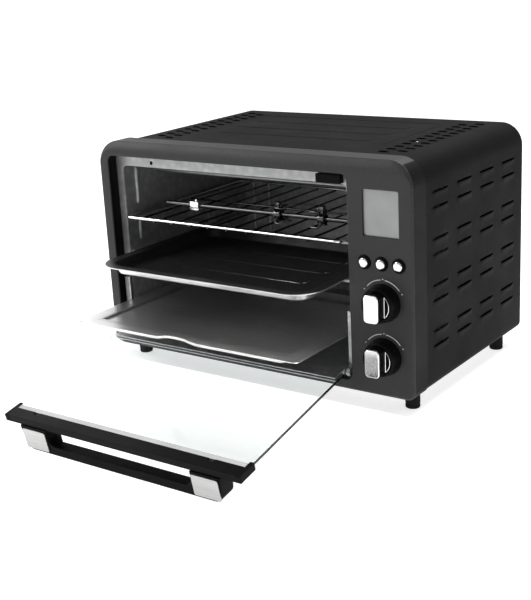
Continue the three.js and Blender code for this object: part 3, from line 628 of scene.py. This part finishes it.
def bezel_piece():
    low, high = mm_box("front_bezel")
    back = low[1] + BEZEL_DEPTH
    outline = rounded_ring(low[0], low[2], high[0], high[2], [12, 12, 32, 32], 14)
    solid = Solid()

    def lean(nz):
        return 0.9 + 3.6 * max(0.0, nz) ** 1.5

    def outer(inset, y_of):
        return [(x - nx * inset, y_of(nz), z - nz * inset) for x, z, nx, nz in outline]

    rings = [outer(0, lambda nz: back)]
    for a in quarter(3):
        rings.append(outer(BEZEL_ROUND * (1 - math.cos(a)),
                           lambda nz, a=a: low[1] + lean(nz) + BEZEL_ROUND * (1 - math.sin(a))))
    for k in range(1, 7):
        t = k / 6
        rings.append([
            (x - nx * (BEZEL_ROUND + 1.6 * t), low[1] + lean(nz) * (1 - t) ** 2,
             z - nz * (BEZEL_ROUND + (1.6 + 14.4 * max(0.0, nz)) * t))
            for x, z, nx, nz in outline
        ])
    solid.loft(rings, ends=False)
    front_loops, back_loops = [rings[-1]], []
    inner = [(x - nx * BEZEL_WALL, z - nz * BEZEL_WALL) for x, z, nx, nz in outline]
    inner_y = low[1] + BEZEL_PLATE
    solid.loft([[(x, inner_y, z) for x, z in inner], [(x, back, z) for x, z in inner], rings[0]], ends=False)
    back_loops.append([(x, inner_y, z) for x, z in inner])
    opening = rounded_ring(*MOUTH, [9] * 4, 6)
    mouth = []
    for a in quarter(4):
        flare = MOUTH_ROUND * (1 - math.sin(a))
        y = low[1] + MOUTH_ROUND * (1 - math.cos(a))
        mouth.append([(x + nx * flare, y, z + nz * flare) for x, z, nx, nz in opening])
    mouth.append([(x, MOUTH_BACK, z) for x, z, _, _ in opening])
    for y in (MOUTH_BACK, inner_y):
        mouth.append([(x + nx * MOUTH_SHEET, y, z + nz * MOUTH_SHEET) for x, z, nx, nz in opening])
    solid.loft(mouth, ends=False)
    front_loops.append(mouth[0])
    back_loops.append(mouth[-1])
    holes = [(rounded_ring(*DISPLAY_HOLE, [2.2] * 4, 4), 0.8)]
    for n in (1, 2, 3):
        x, z, radius = round_place(f"button_collar_{n}")
        holes.append((circle_ring(x, z, radius + 0.25, 28), 0.4))
    for knob in ("knob_upper", "knob_lower"):
        x, z, _ = round_place(knob)
        holes.append((circle_ring(x, z, 5, 20), 0.4))
    for hole, edge in holes:
        rings = []
        for a in quarter(3):
            d = edge * (1 - math.sin(a))
            y = low[1] + edge * (1 - math.cos(a))
            rings.append([(x + nx * d, y, z + nz * d) for x, z, nx, nz in hole])
        rings.append([(x, inner_y, z) for x, z, _, _ in hole])
        solid.loft(rings, ends=False)
        front_loops.append(rings[0])
        back_loops.append(rings[-1])
    fill_between(solid, front_loops)
    fill_between(solid, back_loops)
    piece = solid.piece("front_bezel_shell", "bezel_coat", stands_for=("front_bezel",), crease=38)
    # Painted shade: the skirt's side and underside faces get a darker, smoother copy of the same bezel paint,
    # standing in for the shade on faces turned away from the light.
    piece.data.materials.append(powder_coat("bezel_skirt_painted_shade_look", 0.005, 0.01, 0.5, 0.06))
    for face in piece.data.polygons:
        if face.center.y > (low[1] + 6) * MM and max(abs(face.normal.x), -face.normal.z) > 0.5:
            face.material_index = 1
    return piece


def circle_ring(x, z, radius, steps):
    directions = [(math.cos(a), math.sin(a)) for a in around(steps)]
    return [(x + radius * c, z + radius * s, c, s) for c, s in directions]


# ---------- knobs and buttons ----------
KNOB_SKIRT = 16
RING_RADIUS = 16.7
DIAL_INNER, DIAL_OUTER, DOT_RADIUS = 28.1, 29.0, 29.6
DOME_ARC = 1.2
BUTTON_BACK = -153
PRINT_FRONT, PRINT_BACK = FRONT_FACE - 0.06, FRONT_FACE + 0.3


def knob_pieces(name):
    x, z, radius = round_place(name)
    cap_low, cap_high = mm_box(f"{name}_cap")
    face = FRONT_FACE - 0.3
    front = face - KNOB_SKIRT
    solid = Solid()
    profile = [(0, face), (radius - 0.5, face), (radius, face - 0.5), (radius - 0.25, face - 3)]
    profile += [(radius - 0.25 - 1.9 * (t / 6), face - 3 - 9.6 * (t / 6)) for t in range(1, 7)]
    profile += [(radius - 2.15 - 1.6 * (1 - math.cos(a)) - 0.2, front + 1.8 + 1.6 * (1 - math.sin(a)) - 1.7)
                for a in quarter(4, 1)]
    profile += [(radius - 4.6, front), (17.9, front + 0.1), (17.4, front + 0.7), (0, front + 0.7)]
    solid.lathe(profile, x, z, 64)
    solid.slab(cap_low[0] + 0.1, cap_low[2] + 0.1, cap_high[0] - 0.1, cap_high[2] - 0.1, 5,
               cap_high[1] + 0.1, front + 1.2, 0.3, 8)
    solid.tube([(x, face - 0.5, z), (x, -142, z)], 3, 16)
    solid.piece(f"{name}_turned", "knob_plastic", body=name, stands_for=(name,))
    cap = Solid()
    cap.slab(cap_low[0], cap_low[2], cap_high[0], cap_high[2], 5, cap_low[1], cap_high[1], 1.1, 8)
    cap.piece(f"{name}_bright_cap", "bright_metal", body=name, stands_for=(f"{name}_cap",))
    trim = Solid()
    half = cap_high[0] - x + 0.9
    for side in (-1, 1):
        reach = math.acos(half / RING_RADIUS)
        arc = [(x + side * RING_RADIUS * math.cos(a), front - 0.1, z + RING_RADIUS * math.sin(a))
               for a in (reach * (k / 14 * 2 - 1) for k in range(15))]
        trim.tube(arc, 0.75, 8, cyclic=True)
    trim.piece(f"{name}_ring", "bright_metal", body=name)


def print_material():
    made = Finish("panel_print_look", (0.62, 0.62, 0.62), 0.6)
    made.mottle(made.noise(800), (0.45, 0.45, 0.45), 0.4, 0.7)
    made.sheen_of(made.noise(300), 0.5, 0.7)
    made.bump(made.noise(900), 0.00002, 0.3)
    return made.material


def dial_marks():
    """A short printed scale round the top of each knob: two arcs and three dots."""
    solid = Solid()
    band = (
        (DIAL_INNER, PRINT_BACK), (DIAL_INNER, PRINT_FRONT),
        (DIAL_OUTER, PRINT_FRONT), (DIAL_OUTER, PRINT_BACK),
    )
    dot = [(0, PRINT_BACK), (0.75, PRINT_BACK), (0.75, PRINT_FRONT), (0, PRINT_FRONT)]
    for name in ("knob_upper", "knob_lower"):
        x, z, _ = round_place(name)
        for start, end in ((-50, -6), (6, 52)):
            rings = []
            for k in range(13):
                a = math.radians(90 - (start + (end - start) * k / 12))
                c, s = math.cos(a), math.sin(a)
                rings.append([(x + r * c, y, z + r * s) for r, y in band])
            solid.loft(rings)
        for angle in (-60, 0, 62):
            a = math.radians(90 - angle)
            solid.lathe(dot, x + DOT_RADIUS * math.cos(a), z + DOT_RADIUS * math.sin(a), 10)
    solid.piece("dial_marks", None, look=print_material())


def button_pieces(n):
    low, high = mm_box(f"button_{n}")
    x, z, radius = round_place(f"button_{n}")
    front = low[1]
    dome = [(radius * math.sin(a), front + 0.5 * (1 - math.cos(a)) / (1 - math.cos(DOME_ARC)))
            for a in (DOME_ARC * k / 5 for k in range(6))]
    dome = [(r * (radius - 0.8) / (radius * math.sin(DOME_ARC)), y) for r, y in dome]
    cap = Solid()
    cap.lathe([*dome, (radius - 0.25, front + 0.9), (radius, front + 1.5), (radius, BUTTON_BACK),
               (2.5, BUTTON_BACK), (2.5, high[1]), (0, high[1])], x, z, 36)
    cap.piece(f"button_{n}_cap", "bright_metal", body=f"button_{n}", stands_for=(f"button_{n}",))
    c_low, c_high = mm_box(f"button_collar_{n}")
    outer, inner = (c_high[0] - c_low[0]) / 2, radius + 0.3
    collar = Solid()
    collar.ring_lathe([
        (inner, c_high[1]), (inner, c_low[1] + 0.9), (inner + 0.5, c_low[1] + 0.15), (inner + 1.1, c_low[1]),
        (outer - 0.8, c_low[1]), (outer - 0.15, c_low[1] + 0.4), (outer, c_low[1] + 1), (outer, c_high[1]),
    ], x, z, 36)
    collar.piece(f"button_{n}_collar", "black_plastic", stands_for=(f"button_collar_{n}",))


# ---------- trays ----------
TRAY_SHEET = 0.9


def tray_rings(box, radius, profile, straight=24, relief=None):
    x0, y0, x1, y1 = box
    rings = []
    for inset, z in profile:
        r = max(radius - inset, 1.5)
        ring = rounded_ring(x0 + inset, y0 + inset, x1 - inset, y1 - inset, [r] * 4, 10, straight)
        rings.append([(x, y, z + (relief(x, y, inset) if relief else 0)) for x, y, _, _ in ring])
    return rings


def two_tone(piece, other):
    """Gives the outward and downward faces of a tray a second finish."""
    piece.data.materials.append(LOOKS[other])
    centre = sum((v.co for v in piece.data.vertices), Vector()) / len(piece.data.vertices)
    low = min(v.co.z for v in piece.data.vertices)
    for face in piece.data.polygons:
        away = Vector((face.center.x - centre.x, face.center.y - centre.y, 0))
        outward = face.normal.z < 0.6 and face.normal.dot(away) > 0.3 * away.length and face.center.z > low
        if face.normal.z < -0.3 or outward:
            face.material_index = 1


def bake_tray_piece():
    low, high = mm_box("bake_tray")
    rim, floor = high[2], low[2]
    under, sole = rim - TRAY_SHEET, floor + TRAY_SHEET
    inset = 14
    foot = inset + (rim - floor) * 0.35
    outside = [
        (foot + 3, floor), (foot + 0.8, floor + 0.5), (foot - 0.4, floor + 2.2), (inset + 0.9, rim - 3.4),
        (inset, rim - 1.9), (inset - 1.4, under), (2.2, under - 0.1), (1.2, under - 0.8),
        (0.4, under - 0.8), (0, under), (0.3, rim - 0.1), (1.2, rim),
    ]
    inside = [
        (inset - 1, rim - 0.05), (inset + 0.6, rim - 0.7), (inset + 1.6, rim - 2.4),
        (foot + 0.4, floor + 3.2), (foot + 1.6, sole + 0.6), (foot + 4, sole),
    ]
    box = (low[0], low[1], high[0], high[1])
    solid = Solid()
    solid.loft(tray_rings(box, 38, [*outside, *inside]))
    left, right = low[0] + 76, low[0] + 276
    for back in (86, 136, 188):
        y = low[1] + back
        path = [(left, y), (right, y), (right + 6, y + 2), (right + 9, y + 7), (right + 10, y + 15)]
        solid.tube([(a, b, floor) for a, b in path], 2.3, 10, taper=[0.5, 1, 1, 1, 0.5])
    piece = solid.piece("bake_tray_pressed", "nonstick", body="bake_tray", stands_for=("bake_tray",),
                        crease=60)
    two_tone(piece, "tray_steel")


def crumb_tray_piece():
    low, high = mm_box("crumb_tray")
    rim, floor = high[2], low[2]
    under, sole = rim - TRAY_SHEET, floor + TRAY_SHEET
    grip_x, grip_half = -43, 36
    hem = 2.2

    def front_lip(x, y, inset):
        """The raised finger grip, and the hem that is turned down along the front edge alone."""
        if y > low[1] + 34:
            return 0.0
        reach = math.exp(-(((x - grip_x) / grip_half * 1.5) ** 4))
        between_rails = low[0] + 15 < x < high[0] - 15
        turned = hem if inset in (0.1, 0.8) and y < low[1] + 4 and between_rails else 0
        return 4.2 * reach * max(0.0, 1 - inset / 26) - turned

    outside = [
        (30, floor), (27.6, floor + 0.4), (25.6, under - 0.5), (23.4, under), (12, under),
        (2, under), (0.8, under), (0.1, under), (0, under + 0.3), (0.7, rim),
    ]
    inside = [(2, rim), (12, rim), (24, rim - 0.1), (26.2, rim - 0.9), (28.2, sole + 0.5), (31, sole)]
    box = (low[0], low[1], high[0], high[1])
    solid = Solid()
    solid.loft(tray_rings(box, 6, [*outside, *inside], 40, front_lip))
    solid.piece("crumb_tray_pressed", "tray_steel", body="crumb_tray", stands_for=("crumb_tray",), crease=60)


# ---------- rack, spit and forks ----------
WIRE_RADIUS = 1.3
FRAME_RADIUS = 2
WIRE_PITCH = 31.3
SPIT_RADIUS = 3
COLLAR_START, COLLAR_END = -131, -117
PRONG = [(0, 5.5), (0, 11), (1, 13.8), (3.5, 14.6), (10, 14.4), (15.4, 14)]
# Painted shade: a darker copy of the bright metal, used on the rack wires, spit and forks so they read dim
# inside the cavity.
CAVITY_SHADE_CHROME = brushed("cavity_shade_chrome_look", 0.1, 0.2, (1, 1, 1), 0.000004, 900)


def rack_piece():
    low, high = mm_box("wire_rack")
    z = (low[2] + high[2]) / 2
    x0, y0 = low[0] + FRAME_RADIUS, low[1] + FRAME_RADIUS
    x1, y1 = high[0] - FRAME_RADIUS, high[1] - FRAME_RADIUS
    solid = Solid()
    loop = [(x, y, z) for x, y, _, _ in rounded_ring(x0, y0, x1, y1, [5, 9, 9, 5], 6)]
    solid.tube(loop, FRAME_RADIUS, 12, cyclic=True)
    solid.piece("wire_rack_frame", "bright_metal", body="rack", stands_for=("wire_rack",), crease=50)
    solid = Solid()
    middle = (x0 + x1) / 2
    for i in range(11):
        x = middle + WIRE_PITCH * (i - 5)
        path = [(x, y0 - 1.4, z - 2.2), (x, y0 - 0.6, z - 2.9), (x, y0 + 1.5, z - 3.1), (x, y0 + 8, z - 2.6),
                (x, y1 - 8, z - 2.6), (x, y1 - 1.5, z - 3.1), (x, y1 + 1.2, z - 2.6)]
        solid.tube(path, WIRE_RADIUS, 10, taper=[0.6, 1, 1, 1, 1, 1, 0.7])
    y = (y0 + y1) / 2
    solid.tube([(middle - 166, y, z - 0.6), (middle + 166, y, z - 0.6)], WIRE_RADIUS, 10)
    # The wires take the darker chrome copy: painted shade.
    solid.piece("wire_rack_wires", "bright_metal", body="rack", stands_for=("rack_cross_wire",), crease=50,
                look=CAVITY_SHADE_CHROME)


def spit_pieces():
    low, high = mm_box("spit_rod")
    y, z = (low[1] + high[1]) / 2, (low[2] + high[2]) / 2
    solid = Solid()
    shank = [(low[0], y, z), (low[0] + 5, y, z), (high[0] - 12, y, z)]
    solid.tube(shank, SPIT_RADIUS, 16, taper=[0.25, 1, 1])
    collar = Solid()
    for part, x0, x1, half in ((solid, high[0] - 14, high[0], 3.2), (collar, COLLAR_START, COLLAR_END, 6)):
        ring = rounded_ring(y - half, z - half, y + half, z + half, [0.7] * 4, 3)
        small = rounded_ring(y - half + 0.6, z - half + 0.6, y + half - 0.6, z + half - 0.6, [0.4] * 4, 3)
        part.loft([[(x0, a, b) for a, b, _, _ in small], [(x0 + 0.6, a, b) for a, b, _, _ in ring],
                   [(x1 - 0.6, a, b) for a, b, _, _ in ring], [(x1, a, b) for a, b, _, _ in small]])
    screw_x = (COLLAR_START + COLLAR_END) / 2
    collar.tube([(screw_x, y, z + 5), (screw_x, y, z + 8.4)], 2.2, 12)
    collar.piece("spit_collar", "bright_metal", body="rack", crease=40)
    # The spit takes the darker chrome copy: painted shade.
    solid.piece("spit_rod_turned", "bright_metal", body="rack", stands_for=("spit_rod",), crease=40,
                look=CAVITY_SHADE_CHROME)
    for side, facing in (("left", 1), ("right", -1)):
        node = f"spit_fork_{side}"
        low, high = mm_box(node)
        x = low[0] + 5 if facing > 0 else high[0] - 5
        fork = Solid()
        ring = [(3.3, x - 5), (6.2, x - 5), (7, x - 4.2), (7.2, x), (7, x + 4.2), (6.2, x + 5), (3.3, x + 5)]
        turned = []
        for radius, along in [*ring, ring[0]]:
            turned.append([(along, y + radius * math.cos(a), z + radius * math.sin(a)) for a in around(28)])
        fork.loft(turned, ends=False)
        for k in range(4):
            a = math.pi / 4 + k * math.pi / 2
            c, s = math.cos(a), math.sin(a)
            path = [(x + facing * along, y + reach * c, z + reach * s) for along, reach in PRONG]
            fork.tube(path, 1.7, 10, taper=[1.5, 1.1, 1, 1, 0.8, 0.15])
        fork.tube([(x, y, z + 6), (x, y, z + 12.5)], 1.9, 12)
        screw_head = [(x, y, z + 12), (x, y, z + 12.8), (x, y, z + 16.2), (x, y, z + 17)]
        fork.tube(screw_head, 5, 8, taper=[0.8, 1, 1, 0.8])
        # The forks take the darker chrome copy: painted shade.
        fork.piece(f"{node}_pronged", "bright_metal", body=f"fork_{side}", stands_for=(node,), crease=40,
                   look=CAVITY_SHADE_CHROME)


# ---------- door seal ----------
DOOR_AXIS = Vector((0, -157, 24))
DOOR_DROP = math.radians(11.8)
SEAL_SECTION = [(216.5, 4.95), (217, 5.3), (224.6, 5.3), (224.6, 4.95)]


def door_point(x, s, h):
    """A point of the opened door: across, outwards from the hinge and up from the glass plane."""
    c, d = math.cos(DOOR_DROP), math.sin(DOOR_DROP)
    return DOOR_AXIS + Vector((x, -s * c - h * d, -s * d + h * c))


def seal_material():
    made = Finish("door_seal_look", (0.52, 0.52, 0.52), 0.55)
    made.mottle(made.noise(30), (0.44, 0.44, 0.44), 0.4, 0.7)
    made.sheen_of(made.noise(60), 0.45, 0.65)
    made.bump(made.noise(400), 0.00003, 0.3)
    return made.material


def door_seal_piece():
    """The pale strip on the glass beside the door's black edge trim."""
    low, high = mm_box("door_glass")
    x0, x1 = low[0] + 1, high[0] - 1
    rings = []
    for k in range(41):
        x = x0 + (x1 - x0) * k / 40
        rings.append([door_point(x, s, h) for s, h in SEAL_SECTION])
    solid = Solid()
    solid.loft(rings)
    solid.piece("door_seal", "rubber", body="door", look=seal_material())


# ---------- feet, cavity relief and screws ----------
CAVITY_SHEET = 1.2
LEFT_RIB_Y = -116
REAR_RIB_XS = (-200, -171)
SCREW_PLACES = [(x, z) for x in (-222, -75, 75, 222) for z in (14, 276)] + [(-224, 150), (224, 100)]


def foot_piece(name):
    low, high = mm_box(name)
    x, y = (low[0] + high[0]) / 2, (low[1] + high[1]) / 2
    radius = (high[0] - low[0]) / 2
    bottom, top = low[2], high[2]
    profile = [(0, bottom + 0.6), (radius - 2.6, bottom + 0.6), (radius - 2, bottom), (radius - 1, bottom),
               (radius - 0.2, bottom + 0.9), (radius, bottom + 4), (radius - 0.5, bottom + 4.6),
               (radius - 0.5, bottom + 6), (radius, bottom + 6.6), (radius - 0.1, top - 1),
               (radius - 0.6, top), (0, top)]
    solid = Solid()
    rings = []
    for r, z in profile:
        r = max(r, AXIS_RADIUS)
        rings.append([(x + r * math.cos(a), y + r * math.sin(a), z) for a in around(36)])
    solid.loft(rings)
    solid.piece(f"{name}_moulded", "rubber", stands_for=(name,))


def cavity_relief():
    """Pressed ribs on the left and rear walls of the cavity."""
    wall_x = mm_box("cavity_left_wall")[0][0] + CAVITY_SHEET
    rear_y = mm_box("cavity_rear_wall")[1][1] - CAVITY_SHEET
    taper = [0.5, 1, 1, 0.5]
    solid = Solid()
    y = LEFT_RIB_Y
    for z0, z1 in ((252, 199), (180, 148), (128, 92)):
        path = [(wall_x - 0.8, z0), (wall_x - 0.4, z0 - 4), (wall_x - 0.4, z1 + 4), (wall_x - 0.8, z1)]
        solid.tube([(x, y, z) for x, z in path], 3.6, 14, taper=taper)
    for x in REAR_RIB_XS:
        path = [(rear_y - 0.2, 250), (rear_y - 0.6, 244), (rear_y - 0.6, 86), (rear_y - 0.2, 80)]
        solid.tube([(x, y, z) for y, z in path], 3.2, 14, taper=taper)
    hook = [(-96, 257), (-93, 249), (-86, 243), (-70, 241), (10, 252), (60, 257)]
    solid.tube([(wall_x, y, z) for y, z in hook], 1.6, 10)
    solid.piece("cavity_ribs", "cavity_sheet", crease=50)


def screws():
    solid = Solid()
    back = mm_box("rear_panel")[1][1]
    for x, z in SCREW_PLACES:
        dome = [(4 * math.sin(a), back + 2.2 * math.cos(a)) for a in quarter(5)]
        head = [(0, back + 1.3), (0.9, back + 1.5), *dome[1:], (4, back - 0.4), (0, back - 0.4)]
        solid.lathe(head, x, z, 24)
    solid.piece("rear_screws", "handle_steel", crease=35)


# ---------- carried-over CAD nodes ----------
def soften(piece, width, angle=35, segments=3):
    """Rounds a piece's edges and shades it smoothly."""
    weld = piece.modifiers.new("weld", "WELD")
    weld.merge_threshold = 2e-5
    bevel = piece.modifiers.new("bevel", "BEVEL")
    bevel.width = width * MM
    bevel.segments = segments
    bevel.limit_method = "ANGLE"
    bevel.angle_limit = math.radians(angle)
    bevel.use_clamp_overlap = True
    bevel.harden_normals = False
    normals = piece.modifiers.new("normals", "WEIGHTED_NORMAL")
    normals.keep_sharp = False


EDGE_WIDTH = {
    "handle_bar": 2.2, "door_top_trim": 0.8, "door_end_cap_left": 1.2, "door_end_cap_right": 1.2,
    "door_glass": 0.7, "front_bezel": 1.4, "handle_cap_left": 0.5, "handle_cap_right": 0.5,
    "display_window": 0.4, "rotisserie_motor": 0.8, "transformer": 0.8, "door_catch": 1.2,
}


def dress_cad_nodes():
    for name, node in frame["nodes"].items():
        node.data.materials.clear()
        node.data.materials.append(NODE_LOOKS.get(name, LOOKS[NODE_SLOT[name]]))
        for face in node.data.polygons:
            face.use_smooth = True
        soften(node, EDGE_WIDTH.get(name, 0.3))


add_camera()
add_stage()
add_lights()
dress_cad_nodes()
wrap_piece()
bezel_piece()
for knob in ("knob_upper", "knob_lower"):
    knob_pieces(knob)
dial_marks()
for number in (1, 2, 3):
    button_pieces(number)
bake_tray_piece()
crumb_tray_piece()
rack_piece()
door_seal_piece()
spit_pieces()
for corner in ("front_left", "front_right", "rear_left", "rear_right"):
    foot_piece(f"foot_{corner}")
cavity_relief()
screws()
